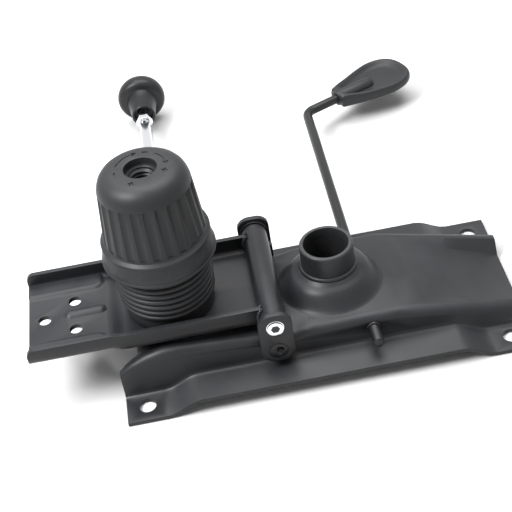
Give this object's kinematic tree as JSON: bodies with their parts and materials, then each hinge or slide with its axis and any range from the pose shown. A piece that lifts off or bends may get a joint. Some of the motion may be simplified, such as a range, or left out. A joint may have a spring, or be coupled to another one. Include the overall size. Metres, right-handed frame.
{
  "type": "chair push back mechanism",
  "caption": "Office chair tilt mechanism: pressed seat plate with gas column socket, sprung back bracket under a tension knob, height lever and tilt lock rod.",
  "frame": {"origin": "midway between the four seat bolt holes, on the plane that touches the seat board", "axes": "+X to the front of the seat, +Y to the side of the levers, +Z away from the seat board, along the column socket"},
  "size_m": [0.3074, 0.3505, 0.1435],
  "materials": {
    "black_powder_coat": "semi-matte charcoal powder coat on pressed steel",
    "bare_steel": "oiled spring and turned steel",
    "bright_chrome": "bright chrome plate",
    "zinc_plate": "bright zinc plated steel",
    "black_plastic": "fine grained black moulding",
    "white_bush": "natural acetal",
    "black_rubber": "soft black rubber"
  },
  "bodies": {
    "base": {"seat_plate": "black_powder_coat", "gas_socket": "black_powder_coat", "socket_collar": "black_powder_coat", "side_link_near": "black_powder_coat", "side_link_far": "black_powder_coat", "link_pins": "black_powder_coat", "pivot_shaft": "bare_steel", "pivot_bolts": "bright_chrome", "rest_pads": "black_rubber", "anchor_plate": "black_powder_coat", "tension_bolt": "zinc_plate", "tension_spring": "bare_steel", "dust_bellows": "black_rubber", "lever_bushes": "white_bush", "lock_sleeve": "white_bush"},
    "back": {"back_bracket": "black_powder_coat", "pivot_tube": "black_powder_coat", "pivot_bushes": "white_bush", "spring_seat": "zinc_plate", "lock_tab": "black_powder_coat"},
    "washer": {"thrust_washer": "zinc_plate"},
    "knob": {"tension_knob": "black_plastic", "knob_nut": "zinc_plate"},
    "gas_lever": {"gas_lever_rod": "black_powder_coat", "lever_paddle": "black_plastic", "lever_tongue": "black_powder_coat", "lever_clips": "bare_steel"},
    "tilt_lock": {"lock_rod": "bright_chrome", "lock_jam_nut": "bright_chrome", "lock_knob": "black_plastic"}
  },
  "joints": [
    {"name": "back_tilt", "type": "hinge", "parent": "base", "child": "back", "pos_m": [-0.0294, 0, 0.044], "axis": [0, 1, 0], "range_deg": [0, 12], "stiffness_Nm_per_rad": 140, "springref_deg": -11.46, "deforming": ["tension_spring", "dust_bellows"]},
    {"name": "washer_travel", "type": "slide", "parent": "base", "child": "washer", "axis": [0, 0, -1], "range_m": [0, 0.006], "deforming": ["tension_spring", "dust_bellows"]},
    {"name": "knob_turn", "type": "hinge", "parent": "washer", "child": "knob", "pos_m": [-0.0895, 0, 0.08], "axis": [0, 0, 1], "range_deg": [0, 1440]},
    {"name": "gas_lever_turn", "type": "hinge", "parent": "base", "child": "gas_lever", "pos_m": [0.0312, 0, 0.0215], "axis": [0, 1, 0], "range_deg": [0, 9]},
    {"name": "lock_slide", "type": "slide", "parent": "base", "child": "tilt_lock", "axis": [0, -1, 0], "range_m": [0, 0.012]}
  ],
  "couplings": [
    {"joint": "washer_travel", "follows": "knob_turn", "m_per_rad": 0.0002387}
  ]
}
